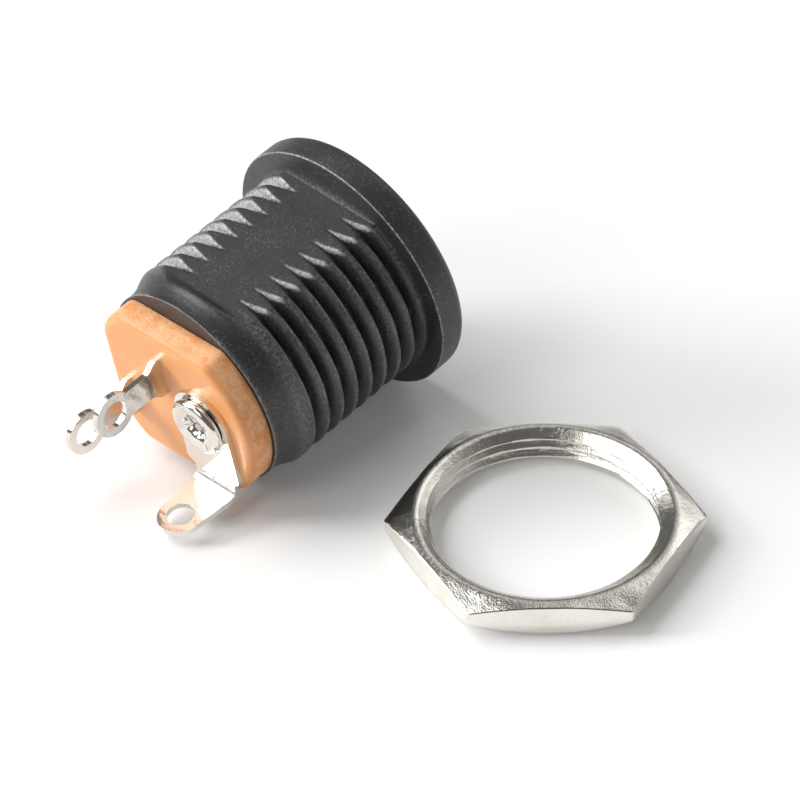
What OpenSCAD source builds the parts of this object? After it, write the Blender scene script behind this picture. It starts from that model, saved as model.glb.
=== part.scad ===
// Panel-mount DC barrel jack lying beside its hexagon panel nut.
//
// Every piece of the jack is drawn in the jack's own frame: the origin is the
// centre of the panel seat (the flange's rear face), +Z runs back along the
// socket axis to the solder lugs, +Y is square to the flat on top, and +X
// points to the side that the nut lies on. lay_jack() then lays the finished
// jack down on its flange and its rear edge, front towards -Y.

/* [Flange] */
// Diameter of the flange
flange_d = 14.4; // [13.6:0.1:16]
// Thickness of the flange
flange_t = 1.8; // [1.5:0.1:2.6]
// Radius of the flange's rounded front edge
flange_round = 0.6; // [0.2:0.1:0.8]

/* [Threaded barrel] */
// Length of the barrel behind the flange
barrel_l = 10.6; // [10:0.1:13]
// Diameter over the thread crests
thread_d = 12; // [11.8:0.05:12.4]
// Diameter at the bottom of the thread grooves
root_d = 10.7; // [10.6:0.05:11]
// Distance from one thread crest to the next
thread_pitch = 1.04; // [0.8:0.02:1.2]
// Width of a thread crest
crest_w = 0.22; // [0.1:0.02:0.28]
// Distance across the two flats of the thread
flats_w = 10.3; // [10.1:0.05:10.6]
// Width of the first crest, against the flange
first_crest_w = 0.14; // [0.1:0.01:0.4]
// Full collar from the flats' ends to the barrel's rear edge
collar_l = 1.3; // [1:0.1:1.8]
// Diameter of the collar where the flats end
collar_d = 11.56; // [11.4:0.02:11.64]
// Diameter of the barrel's rear edge, to which the collar tapers
rear_d = 11.3; // [11.2:0.05:11.4]

/* [Socket] */
// Diameter of the hole that guides the plug
socket_d = 6.2; // [5.9:0.1:6.5]
// Depth of that hole from the flange's front face
socket_l = 5.3; // [4.5:0.1:5.8]
// Bevel round the mouth of the hole
mouth_bevel = 0.4; // [0.2:0.1:0.6]
// Diameter of the chamber that holds the contacts
chamber_d = 8.7; // [8.5:0.1:9]

/* [Base plate] */
// Diameter of the plate's round sides
plate_d = 11; // [10.8:0.05:11.1]
// Thickness of the plate
plate_t = 1.5; // [1.2:0.1:2]
// Distance across the plate's top and bottom flats
plate_flats_w = 8.9; // [8.8:0.05:9.2]
// Distance from the axis to the flat on the plate's side
plate_side = 4.75; // [4.6:0.05:5]
// Radius of the plate's rolled rear edge
plate_round = 0.5; // [0.2:0.05:0.6]

/* [Centre pin] */
// Diameter of the centre pin
pin_d = 2.1; // [1.9:0.1:2.3]
// How far the pin's tip lies behind the flange's front face
pin_recess = 0.8; // [0.4:0.1:1.6]
// Diameter of the pin's staked tail
tail_d = 1.1; // [0.9:0.1:1.2]

/* [Solder lugs] */
// Thickness of the contact sheet
sheet_t = 0.3; // [0.25:0.01:0.35]
// Width of an upright lug where it leaves the plate
lug_root_w = 2.4; // [2.1:0.1:2.5]
// Width of an upright lug's neck
lug_neck_w = 1.55; // [1.2:0.05:1.7]
// Diameter of a lug's round end
lug_end_d = 2.45; // [2.2:0.05:2.6]
// Diameter of a lug's solder hole
lug_hole_d = 1.5; // [1.2:0.05:1.6]
// Distance from the plate to an upright lug's hole
lug_reach = 3.4; // [3:0.1:4]
// Sideways place of the centre lug
centre_lug_x = -0.3; // [-0.5:0.05:-0.2]
// Height of the centre lug's middle above the axis
centre_lug_y = 2; // [1.95:0.05:2.1]
// Sideways place of the switch lug
switch_lug_x = -3.3; // [-3.35:0.05:-3.2]
// Height of the switch lug's middle above the axis
switch_lug_y = -1.05; // [-1.1:0.05:-0.95]
// Width of the sleeve lug's strap
strap_w = 3.75; // [3.4:0.05:3.9]
// Width of the sleeve lug's tab at its fold
tab_root_w = 2.8; // [2.5:0.1:3]
// Height of the tab's upper face against the axis
tab_y = -4.05; // [-4.3:0.05:-3.9]
// Distance from the plate to the tab's hole
tab_reach = 2.9; // [2.6:0.1:3.4]

/* [Contact springs] */
// Distance from the axis to the sleeve spring's contact bow
bow_x = 2.55; // [2.45:0.05:2.7]
// Distance from the axis to the sleeve spring's back leaf
leaf_x = 3.5; // [3.45:0.05:3.55]
// Width of the sleeve spring's leaf
leaf_w = 2; // [1.6:0.1:2.2]
// Radius of the springs' feet round the pin and the rivet
foot_r = 1.15; // [1.05:0.05:1.2]

/* [Rivet] */
// Sideways place of the rivet
rivet_x = 2.38; // [2.34:0.02:2.44]
// Height of the rivet above the axis
rivet_y = 0.35; // [0.25:0.05:0.45]
// Diameter of the rivet's shank
rivet_d = 1.6; // [1.3:0.1:1.7]
// Diameter of the bore in the rivet's open end
rivet_bore_d = 1; // [0.7:0.1:1.1]
// Diameter of the rolled head over the lug
roll_d = 3.2; // [2.8:0.1:3.4]
// Height of the rolled head
roll_h = 0.5; // [0.3:0.05:0.6]
// Splits round the rolled head
roll_splits = 6; // [4:1:8]

/* [Panel nut] */
// Width of the nut across its flats
nut_af = 14; // [13.9:0.1:16]
// Thickness of the nut
nut_t = 1.9; // [1.6:0.1:2.6]
// Diameter of the nut's hole at the thread crests
nut_bore_d = 11.5; // [11.4:0.05:11.7]
// Diameter of the bevel at each mouth of the hole
nut_mouth_d = 12.84; // [12.6:0.02:12.9]
// Depth of the bevel at each mouth
nut_mouth_t = 0.35; // [0.2:0.05:0.5]
// Diameter of the flat ring inside the corner bevels
nut_ring_d = 13.4; // [13.2:0.1:13.8]
// Slope of the corner bevels on the upper side
nut_top_slope = 13; // [8:1:25]
// Slope of the corner bevels on the lower side
nut_low_slope = 34; // [15:1:36]

/* [Resting places] */
// How far the jack is rolled about its own axis
jack_roll = 2; // [0:0.5:3]
// Distance of the nut beside the jack's axis
nut_beside = 16.5; // [15.9:0.1:24]
// Distance of the nut behind the panel seat
nut_behind = 2.4; // [0:0.1:8]
// Turn of the nut on the table
nut_turn = 44; // [0:1:60]

/* [Hidden] */
$fn = 96;
over = 1;                     // how far a cutting solid reaches past a face
slit = 0.05;                  // running gap round a piece that passes through another
pin_tip = 0.35;               // radius of the pin's rounded tip
base_r = pin_d / 2 - 0.3;     // the pin narrows to this where it stands on the lug's foot
base_l = 0.6;
tail_head_d = tail_d + 0.3;   // staked end of the pin's tail
recess_d = tail_d + 0.5;      // recess for it in the plate's front face
recess_t = 0.45;
tail_head_t = 0.25;
bend_r = 0.25;                // inside radius of the sleeve lug's fold
spring_bend_r = 0.15;         // inside radius of the sleeve spring's fold
head_r = 0.95;                // rivet's factory head inside the chamber
head_t = 0.3;
shoulder_l = 0.45;            // tapered shoulder between a lug's root and neck
strap_shoulder = 0.3;         // tapered shoulder between the strap and its fold
bar_y = [-2.3, -1.45];        // switch contact's crossbar, below and above

flange_r = flange_d / 2;
thread_r = thread_d / 2;
root_r = root_d / 2;
collar_r = collar_d / 2;
rear_r = rear_d / 2;
chamber_z = socket_l - flange_t;          // front wall of the contact chamber
foot_z = barrel_l - sheet_t;              // the contacts' feet lie against the plate
plate_z = barrel_l + plate_t;             // rear face of the plate
groove_w = thread_pitch - crest_w;
thread_end_z = barrel_l - collar_l;       // the flats end here
groove_n = floor((thread_end_z - first_crest_w - crest_w) / thread_pitch);
last_crest_z = first_crest_w + groove_n * thread_pitch;
rivet_at = [rivet_x, rivet_y];
lug_hole_z = plate_z + lug_reach;
tab_hole_z = plate_z + tab_reach;
jack_tilt = atan((flange_r - rear_r) / barrel_l);
nut_corner_r = nut_af / 2 / cos(30);

// ---- plain geometry ------------------------------------------------------

// Points on an arc about c, from angle a to angle b
function arc(c, r, a, b, n = 8) =
    [for (i = [0:n]) c + r * [cos(a + (b - a) * i / n), sin(a + (b - a) * i / n)]];

function unit(v) = v / norm(v);
function left_of(v) = [-v[1], v[0]];

// Mitred offset of point i of an open path, d to the left
function beside(path, i, d) =
    let (into = unit(path[max(i, 1)] - path[max(i, 1) - 1]),
         away = i > 0 && i < len(path) - 1 ? unit(path[i + 1] - path[i]) : into,
         mitre = unit(left_of(into) + left_of(away)))
    path[i] + mitre * d / (mitre * left_of(into));

// Outline of a strip of thickness t whose right-hand face follows the path
function strip(path, t) =
    concat(path, [for (i = [len(path) - 1:-1:0]) beside(path, i, t)]);

// A side profile drawn in X and Z, widened along Y
module across(y, w) translate([0, y + w / 2, 0]) rotate([90, 0, 0]) linear_extrude(w) children();

// ---- threaded barrel -----------------------------------------------------

// Outline of the flange, the thread's ridges and the collar: radius first, then Z
function flange_edge() = concat(
    [[flange_r - flange_round, -flange_t]],
    arc([flange_r - flange_round, flange_round - flange_t], flange_round, -90, 0),
    [[flange_r, 0], [thread_r, 0]]);

// Each groove from the edge of one crest to the start of the next
function thread_edge() = [
    for (k = [0:groove_n - 1]) let (z = first_crest_w + k * thread_pitch)
        each [[thread_r, z], [root_r, z + groove_w * 0.42], [root_r, z + groove_w * 0.58],
              [thread_r, z + groove_w]]];

// The last crest runs out into the tapered collar
function collar_edge() = [
    [thread_r, last_crest_z],
    [thread_r, last_crest_z + crest_w],
    [collar_r, thread_end_z],
    [rear_r, barrel_l]];

module threaded_barrel() color([0.13, 0.13, 0.14]) difference() {
    rotate_extrude() polygon(concat(
        [[0, -flange_t]], flange_edge(), thread_edge(), collar_edge(),
        [[0, barrel_l]]));
    for (side = [0, 180]) rotate([0, 0, side])
        translate([-thread_r, flats_w / 2, 0]) cube([thread_d, thread_r, thread_end_z]);
    translate([0, 0, -flange_t - over]) cylinder(d = socket_d, h = socket_l + 2 * over);
    translate([0, 0, -flange_t])
        cylinder(d1 = socket_d + 2 * mouth_bevel, d2 = socket_d, h = mouth_bevel);
    translate([0, 0, chamber_z]) cylinder(d = chamber_d, h = barrel_l);
}

// ---- base plate ----------------------------------------------------------

// Section of a slab, w wide and plate_t high, with both upper corners rounded
module rolled_section(w) {
    square([w, plate_t - plate_round]);
    translate([plate_round, 0]) square([w - 2 * plate_round, plate_t]);
    for (x = [plate_round, w - plate_round])
        translate([x, plate_t - plate_round]) circle(plate_round);
}

module plate_blank() intersection() {
    rotate_extrude() intersection() {
        translate([-plate_d / 2, 0]) rolled_section(plate_d);
        square([plate_d, plate_t]);
    }
    translate([plate_d, -plate_flats_w / 2, 0]) rotate([90, 0, -90]) mirror([1, 0])
        linear_extrude(2 * plate_d) rolled_section(plate_flats_w);
    translate([-plate_side, plate_d, 0]) rotate([90, 0, 0])
        linear_extrude(2 * plate_d) rolled_section(2 * plate_d);
}

module lug_slot(x, y)
    translate([x - sheet_t / 2 - slit, y - lug_root_w / 2 - slit, -over])
        cube([sheet_t + 2 * slit, lug_root_w + 2 * slit, plate_t + 2 * over]);

module base_plate() color([0.85, 0.55, 0.32]) translate([0, 0, barrel_l]) difference() {
    plate_blank();
    lug_slot(centre_lug_x, centre_lug_y);
    lug_slot(switch_lug_x, switch_lug_y);
    translate([rivet_x, rivet_y, -over]) cylinder(d = rivet_d, h = plate_t + 2 * over);
    translate([0, 0, -over]) cylinder(d = recess_d, h = recess_t + over);
}

// ---- centre contact ------------------------------------------------------

module centre_pin() color([0.8, 0.78, 0.72]) rotate_extrude() polygon(concat(
    [[0, pin_recess - flange_t]],
    arc([pin_d / 2 - pin_tip, pin_recess - flange_t + pin_tip], pin_tip, -90, 0),
    [[pin_d / 2, foot_z - base_l], [base_r, foot_z],
     [tail_d / 2, foot_z], [tail_d / 2, barrel_l],
     [tail_head_d / 2, barrel_l], [tail_d / 2, barrel_l + tail_head_t], [0, barrel_l + tail_head_t]]));

// Outline of an upright lug from z0 back to its round end, centred on Y = 0
module lug_outline(z0) {
    half = [[z0, lug_root_w / 2], [plate_z + shoulder_l, lug_root_w / 2],
            [plate_z + 2 * shoulder_l, lug_neck_w / 2], [lug_hole_z, lug_neck_w / 2]];
    polygon(concat(half, [for (i = [3:-1:0]) [half[i][0], -half[i][1]]]));
    translate([lug_hole_z, 0]) circle(d = lug_end_d);
}

// An upright lug with its solder hole, one sheet thick about x, centred on y
module upright_lug(x, y) difference() {
    translate([x + sheet_t / 2, y, 0]) rotate([0, -90, 0]) linear_extrude(sheet_t)
        lug_outline(foot_z);
    translate([x - sheet_t, y, lug_hole_z]) rotate([0, 90, 0])
        cylinder(d = lug_hole_d, h = 2 * sheet_t);
}

module centre_lug() color([0.82, 0.82, 0.8]) {
    arm_x = centre_lug_x + sheet_t / 2 - lug_neck_w;
    upright_lug(centre_lug_x, centre_lug_y);
    difference() {
        union() {
            translate([arm_x, -foot_r, foot_z]) cube([foot_r - arm_x, 2 * foot_r, sheet_t]);
            translate([arm_x, 0, foot_z])
                cube([lug_neck_w, centre_lug_y + lug_root_w / 2, sheet_t]);
        }
        translate([0, 0, foot_z - over]) cylinder(d = tail_d, h = sheet_t + 2 * over);
    }
}

// ---- sleeve contact ------------------------------------------------------

// Side of the spring in X and Z: foot, back leaf, contact bow and flared tip
function spring_path() = concat(
    [[rivet_x, barrel_l]],
    arc([leaf_x - spring_bend_r, foot_z - spring_bend_r], sheet_t + spring_bend_r, 90, 0, 4),
    [[leaf_x + sheet_t, chamber_z + 3.6], [bow_x + sheet_t + 0.1, chamber_z + 2.1],
     [bow_x + sheet_t, chamber_z + 1.8], [bow_x + sheet_t + 0.1, chamber_z + 1.5],
     [leaf_x, chamber_z + 0.4]]);

module sleeve_spring() color([0.82, 0.8, 0.74]) difference() {
    union() {
        across(rivet_y, leaf_w) polygon(strip(spring_path(), -sheet_t));
        // ear that rests on the switch contact
        translate([leaf_x, bar_y[0] + 0.6, chamber_z + 4]) cube([sheet_t, rivet_y - bar_y[0] - 0.6, 1.4]);
        translate([rivet_x, rivet_y, foot_z]) cylinder(r = foot_r, h = sheet_t);
    }
    translate([rivet_x, rivet_y, foot_z - over]) cylinder(d = rivet_d, h = sheet_t + 2 * over);
    // straight edge that keeps the foot clear of the pin
    translate([rivet_x - 1 - 2 * foot_r, -foot_r, foot_z - over])
        cube([2 * foot_r, 4 * foot_r, sheet_t + 2 * over]);
}

// The strap is riveted to the plate, and folds back into a tab with a round end
module sleeve_lug() color([0.86, 0.86, 0.84]) translate([rivet_x, 0, 0]) difference() {
    fold_z = plate_z + sheet_t + bend_r;
    fold_y = tab_y + bend_r;
    union() {
        translate([0, rivet_y, plate_z]) cylinder(d = strap_w, h = sheet_t);
        translate([0, 0, plate_z]) linear_extrude(sheet_t) polygon([
            [-strap_w / 2, rivet_y], [-strap_w / 2, fold_y + 2 * strap_shoulder],
            [-tab_root_w / 2, fold_y + strap_shoulder], [-tab_root_w / 2, fold_y],
            [tab_root_w / 2, fold_y], [tab_root_w / 2, fold_y + strap_shoulder],
            [strap_w / 2, fold_y + 2 * strap_shoulder], [strap_w / 2, rivet_y]]);
        translate([-tab_root_w / 2, fold_y, fold_z]) rotate([0, 90, 0])
            linear_extrude(tab_root_w) intersection() {
                difference() {
                    circle(bend_r + sheet_t);
                    circle(bend_r);
                }
                translate([0, -2 * bend_r - sheet_t]) square(2 * bend_r + sheet_t);
            }
        translate([0, tab_y, 0]) rotate([90, 0, 0]) linear_extrude(sheet_t) polygon([
            [-tab_root_w / 2, fold_z], [tab_root_w / 2, fold_z],
            [lug_end_d / 2, tab_hole_z], [-lug_end_d / 2, tab_hole_z]]);
        translate([0, tab_y, tab_hole_z]) rotate([90, 0, 0]) cylinder(d = lug_end_d, h = sheet_t);
    }
    translate([0, rivet_y, plate_z - over]) cylinder(d = rivet_d, h = sheet_t + 2 * over);
    translate([0, tab_y + sheet_t, tab_hole_z]) rotate([90, 0, 0])
        cylinder(d = lug_hole_d, h = 3 * sheet_t);
}

// Semi-tubular rivet: factory head in the chamber, rolled split head on the lug
module rivet() color([0.88, 0.87, 0.83]) translate([rivet_x, rivet_y, 0]) {
    seat_z = plate_z + sheet_t;
    roll_r = roll_d / 2;
    difference() {
        rotate_extrude() polygon(concat(
            [[0, foot_z - head_t], [head_r, foot_z - head_t], [head_r, foot_z],
             [rivet_d / 2, foot_z], [rivet_d / 2, seat_z], [roll_r - 0.15, seat_z]],
            arc([roll_r - 0.25, seat_z + roll_h / 2], roll_h / 2, -60, 90, 6),
            [[rivet_bore_d / 2 + 0.25, seat_z + roll_h], [rivet_bore_d / 2, seat_z + roll_h * 0.5],
             [rivet_bore_d / 2, plate_z - 0.6], [0, plate_z - 0.6]]));
        for (k = [0:roll_splits - 1]) rotate([0, 0, k * 360 / roll_splits])
            translate([0, -0.06, seat_z + roll_h * 0.35]) cube([roll_r - 0.35, 0.12, roll_h]);
    }
}

// ---- switch contact ------------------------------------------------------

// One stamping: upright lug, crossbar on the plate and the finger under the ear
module switch_contact() color([0.8, 0.78, 0.72]) {
    finger_x = leaf_x - sheet_t;
    lug_left = switch_lug_x - sheet_t / 2;
    upright_lug(switch_lug_x, switch_lug_y);
    translate([lug_left, bar_y[0], foot_z])
        cube([finger_x - lug_left, bar_y[1] - bar_y[0], sheet_t]);
    translate([finger_x - sheet_t, bar_y[0], chamber_z + 4])
        cube([sheet_t, bar_y[1] - bar_y[0], barrel_l - chamber_z - 4]);
    // contact pip against the ear
    translate([finger_x, (bar_y[0] + bar_y[1]) / 2 + 0.2, chamber_z + 4.7])
        rotate([0, 90, 0]) cylinder(d = 0.5, h = leaf_x - finger_x);
}

// ---- panel nut -----------------------------------------------------------

module panel_nut() color([0.85, 0.84, 0.8]) difference() {
    ring_r = nut_ring_d / 2;
    rim_r = nut_corner_r + over;
    intersection() {
        rotate([0, 0, nut_turn]) cylinder(r = nut_corner_r, h = nut_t, $fn = 6);
        rotate_extrude() polygon([
            [0, 0], [ring_r, 0], [rim_r, (rim_r - ring_r) * tan(nut_low_slope)],
            [rim_r, nut_t - (rim_r - ring_r) * tan(nut_top_slope)], [ring_r, nut_t], [0, nut_t]]);
    }
    translate([0, 0, -over]) cylinder(d = nut_bore_d, h = nut_t + 2 * over);
    translate([0, 0, nut_t - nut_mouth_t])
        cylinder(d1 = nut_bore_d, d2 = nut_mouth_d, h = nut_mouth_t);
    cylinder(d1 = nut_mouth_d, d2 = nut_bore_d, h = nut_mouth_t);
}

// ---- places --------------------------------------------------------------

// The footprint of jack and nut is centred on the origin
nut_x = -nut_beside;
left_x = nut_x + min([for (k = [0:5]) nut_corner_r * cos(nut_turn + 60 * k)]);
nut_front_y = nut_behind + min([for (k = [0:5]) nut_corner_r * sin(nut_turn + 60 * k)]);
rim_front_y = -(flange_t - flange_round) * cos(jack_tilt)
    - (flange_r - flange_round) * sin(jack_tilt) - flange_round;
front_y = min(nut_front_y, rim_front_y);
back_y = lug_hole_z * cos(jack_tilt) + centre_lug_y * sin(jack_tilt) + lug_end_d / 2;
seat_x = -(left_x + flange_r) / 2;
seat_y = -(front_y + back_y) / 2;

module lay_jack()
    translate([seat_x, seat_y, flange_r * cos(jack_tilt)])
        rotate([-90 - jack_tilt, 0, 0]) rotate([0, 0, 180 + jack_roll]) children();

module lay_nut() translate([seat_x + nut_x, seat_y + nut_behind, 0]) children();

lay_jack() threaded_barrel();
lay_jack() base_plate();
lay_jack() centre_pin();
lay_jack() centre_lug();
lay_jack() sleeve_spring();
lay_jack() sleeve_lug();
lay_jack() rivet();
lay_jack() switch_contact();
lay_nut() panel_nut();
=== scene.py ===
"""A panel-mount DC barrel jack lying beside its hexagon nut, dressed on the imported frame."""

import logging
import math
from dataclasses import dataclass, field
from enum import Enum
from typing import Callable

import bmesh
import bpy
import numpy as np
from mathutils import Matrix, Vector


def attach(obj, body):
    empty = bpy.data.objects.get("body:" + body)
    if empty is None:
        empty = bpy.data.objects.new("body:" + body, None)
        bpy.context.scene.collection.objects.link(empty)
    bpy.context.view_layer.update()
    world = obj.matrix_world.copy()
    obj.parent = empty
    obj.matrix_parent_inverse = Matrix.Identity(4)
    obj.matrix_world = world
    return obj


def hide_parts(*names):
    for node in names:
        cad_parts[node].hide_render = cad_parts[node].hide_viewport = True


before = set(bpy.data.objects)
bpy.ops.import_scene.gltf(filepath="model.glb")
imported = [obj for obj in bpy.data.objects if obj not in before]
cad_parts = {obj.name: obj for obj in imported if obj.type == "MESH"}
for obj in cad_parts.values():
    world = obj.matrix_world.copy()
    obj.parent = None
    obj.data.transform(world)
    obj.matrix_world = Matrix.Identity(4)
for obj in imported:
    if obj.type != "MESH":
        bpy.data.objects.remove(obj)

LOG = logging.getLogger("jack")
MM = 0.001
TAU = 2 * math.pi
MOST_BEND = 0.48
NEAR_ZERO = 1e-3
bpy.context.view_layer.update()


# ---- places -----------------------------------------------------------------


@dataclass(frozen=True)
class Place:
    """Turns a sub-assembly's own millimetres into the row frame's metres.

    A point p goes to turn @ p + shift, times one thousandth.
    """

    turn: np.ndarray
    shift: np.ndarray

    def put(self, points: np.ndarray) -> np.ndarray:
        """Places points.

        Args:
            points: An array whose last axis is x, y, z in millimetres.

        Returns:
            The same array in metres in the row frame.
        """
        return (points @ self.turn.T + self.shift) * MM


@dataclass(frozen=True)
class Layout:
    """Where the jack and its nut lie, worked out from the sizes that decide it."""

    flange_r: float = 7.2
    flange_t: float = 1.8
    flange_round: float = 0.6
    rear_r: float = 5.65
    barrel_l: float = 10.6
    lug_hole_z: float = 15.5
    centre_lug_y: float = 2.0
    lug_end_r: float = 1.225
    roll: float = 2.0
    nut_beside: float = 16.5
    nut_behind: float = 2.4
    nut_turn: float = 44.0
    nut_af: float = 14.0

    def seat(self) -> tuple[np.ndarray, float]:
        """Works out where the jack rests on its flange and its rear edge.

        Returns:
            The panel seat's centre in millimetres, and the jack's tilt in radians.
        """
        tilt = math.atan((self.flange_r - self.rear_r) / self.barrel_l)
        corners = np.radians(self.nut_turn + 60 * np.arange(6))
        corner_r = self.nut_af / 2 / math.cos(math.radians(30))
        left = -self.nut_beside + (corner_r * np.cos(corners)).min()
        rim_front = (
            -(self.flange_t - self.flange_round) * math.cos(tilt)
            - (self.flange_r - self.flange_round) * math.sin(tilt)
            - self.flange_round
        )
        front = min(rim_front, self.nut_behind + (corner_r * np.sin(corners)).min())
        back = (
            self.lug_hole_z * math.cos(tilt)
            + self.centre_lug_y * math.sin(tilt)
            + self.lug_end_r
        )
        x, y = -(left + self.flange_r) / 2, -(front + back) / 2
        return np.array([x, y, self.flange_r * math.cos(tilt)]), tilt

    def jack(self) -> Place:
        """The place of the jack, whose own Z runs back along the socket."""
        shift, tilt = self.seat()
        turn = Matrix.Rotation(-math.pi / 2 - tilt, 3, "X") @ Matrix.Rotation(
            math.pi + math.radians(self.roll), 3, "Z"
        )
        return Place(np.array(turn), shift)

    def nut(self) -> Place:
        """The place of the nut, whose own Z points up."""
        shift, _ = self.seat()
        centre = np.array([shift[0] - self.nut_beside, shift[1] + self.nut_behind, 0.0])
        return Place(np.eye(3), centre)


# ---- surfaces ---------------------------------------------------------------


@dataclass
class Surface:
    """Vertices, faces and named values on the vertices, worked out as whole arrays."""

    points: np.ndarray
    faces: list[np.ndarray]
    values: dict[str, np.ndarray] = field(default_factory=dict)

    def __add__(self, other: "Surface") -> "Surface":
        """Joins two surfaces, with zeros for a value that one of them lacks.

        Args:
            other: The surface to add.

        Returns:
            Both in one.
        """
        n, m = len(self.points), len(other.points)
        names = set(self.values) | set(other.values)
        return Surface(
            np.vstack([self.points, other.points]),
            self.faces + [f + n for f in other.faces],
            {
                k: np.concatenate(
                    [self.values.get(k, np.zeros(n)), other.values.get(k, np.zeros(m))]
                )
                for k in names
            },
        )

    def to_object(self, name: str, place: Place, sharp: float = 40.0) -> bpy.types.Object:
        """Makes the mesh object, its origin at the row frame's.

        Args:
            name: The piece's name.
            place: Where its own millimetres lie in the row frame.
            sharp: Edges that turn by more than this many degrees stay sharp.

        Returns:
            The new object, linked to the scene.
        """
        mesh = bpy.data.meshes.new(name)
        sizes = np.concatenate([np.full(len(f), f.shape[1]) for f in self.faces])
        loops = np.concatenate([f.ravel() for f in self.faces])
        mesh.vertices.add(len(self.points))
        mesh.vertices.foreach_set("co", place.put(self.points).astype(np.float32).ravel())
        mesh.loops.add(len(loops))
        mesh.loops.foreach_set("vertex_index", loops.astype(np.int32))
        mesh.polygons.add(len(sizes))
        mesh.polygons.foreach_set(
            "loop_start", np.concatenate([[0], np.cumsum(sizes)[:-1]]).astype(np.int32)
        )
        mesh.update(calc_edges=True)
        mesh.validate()
        mesh.polygons.foreach_set("use_smooth", np.ones(len(mesh.polygons), dtype=bool))
        mesh.set_sharp_from_angle(angle=math.radians(sharp))
        for key, value in self.values.items():
            mesh.attributes.new(key, "FLOAT", "POINT").data.foreach_set(
                "value", value.astype(np.float32)
            )
        return linked(name, mesh)


def linked(name: str, data: bpy.types.ID) -> bpy.types.Object:
    """A new object round this mesh, lamp or camera, linked to the scene."""
    made = bpy.data.objects.new(name, data)
    bpy.context.scene.collection.objects.link(made)
    return made


def ring_faces(rows: int, around: int, closed: bool) -> np.ndarray:
    """Quads of a grid that goes round in its second direction.

    Face (i, j) joins row i to row i + 1 and column j to column j + 1, the last column
    back to the first and, where closed, the last row back to the first.

    Args:
        rows: How many rows the grid has.
        around: How many points are in a row.
        closed: Whether the last row joins the first.

    Returns:
        An array of four vertex numbers for each face.
    """
    i, j = np.meshgrid(np.arange(rows - (not closed)), np.arange(around), indexing="ij")
    down, right = (i + 1) % rows, (j + 1) % around
    quads = [i * around + j, i * around + right, down * around + right, down * around + j]
    return np.stack(quads, axis=-1).reshape(-1, 4)


def turned(theta: np.ndarray, radius: np.ndarray, height: np.ndarray, closed: bool = True,
           **values: np.ndarray) -> Surface:
    """A surface round Z: point (i, j) is (r cos t, r sin t, z) with t from column j.

    Rows run so that the faces point outwards when the section goes round
    anticlockwise in a drawing of radius to the right and height upwards.

    Args:
        theta: The angle of each column.
        radius: Radius on the grid of rows and columns.
        height: Height on the same grid.
        closed: Whether the last row joins the first.
        values: More values on the same grid, kept under their names.

    Returns:
        The surface.
    """
    points = np.stack([radius * np.cos(theta), radius * np.sin(theta), height], axis=-1)
    faces = ring_faces(radius.shape[0], radius.shape[1], closed)
    return Surface(points.reshape(-1, 3), [faces], {k: v.ravel() for k, v in values.items()})


def rounded(path: np.ndarray, radii: list[float], steps: int = 5) -> np.ndarray:
    """A polyline with each inner corner replaced by a smooth bend.

    Each bend is a quadratic curve from one side to the other, starting its radius
    before the corner, or at most MOST_BEND of the shorter side before it.

    Args:
        path: The corners, one row of two numbers each.
        radii: How far before each corner its bend starts; 0 leaves it sharp.
        steps: Points along a bend.

    Returns:
        The finer polyline.
    """
    out = [path[0]]
    for before, corner, after, r in zip(path[:-2], path[1:-1], path[2:], radii):
        back, ahead = before - corner, after - corner
        nb, na = np.linalg.norm(back), np.linalg.norm(ahead)
        reach = min(r, MOST_BEND * nb, MOST_BEND * na)
        if reach <= 0:
            out.append(corner)
            continue
        a, b = corner + back / nb * reach, corner + ahead / na * reach
        t = np.linspace(0, 1, steps + 1)[:, None]
        out.extend((1 - t) ** 2 * a + 2 * t * (1 - t) * corner + t**2 * b)
    out.append(path[-1])
    return np.array(out)


def arc(centre: tuple[float, float], r: float, start: float, end: float,
        n: int = 24) -> np.ndarray:
    """Points on a circle's arc: centre + r (cos a, sin a), a in degrees from start to end."""
    a = np.radians(np.linspace(start, end, n))
    return np.array(centre) + r * np.stack([np.cos(a), np.sin(a)], axis=-1)


def hole_outline(centre: tuple[float, float], r: float, sides: int) -> np.ndarray:
    """A round hole's outline, clockwise and without a doubled last point."""
    return arc(centre, r, 360, 0, sides + 1)[:-1]


def bell(distance: np.ndarray, width: float) -> np.ndarray:
    """1 in the middle of a mark, fading out over its width: exp(-(d / w)^2)."""
    return np.exp(-((distance / width) ** 2))


def ramp(value: np.ndarray, start: float, width: float) -> np.ndarray:
    """0 up to start and 1 from a width further, with a straight slope between them."""
    return np.clip((value - start) / width, 0, 1)


def soft_least(a: np.ndarray, b: np.ndarray, blend: float) -> np.ndarray:
    """The lesser of two values with a rounded meeting: -k log(exp(-a/k) + exp(-b/k))."""
    return -blend * np.logaddexp(-a / blend, -b / blend)


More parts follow.
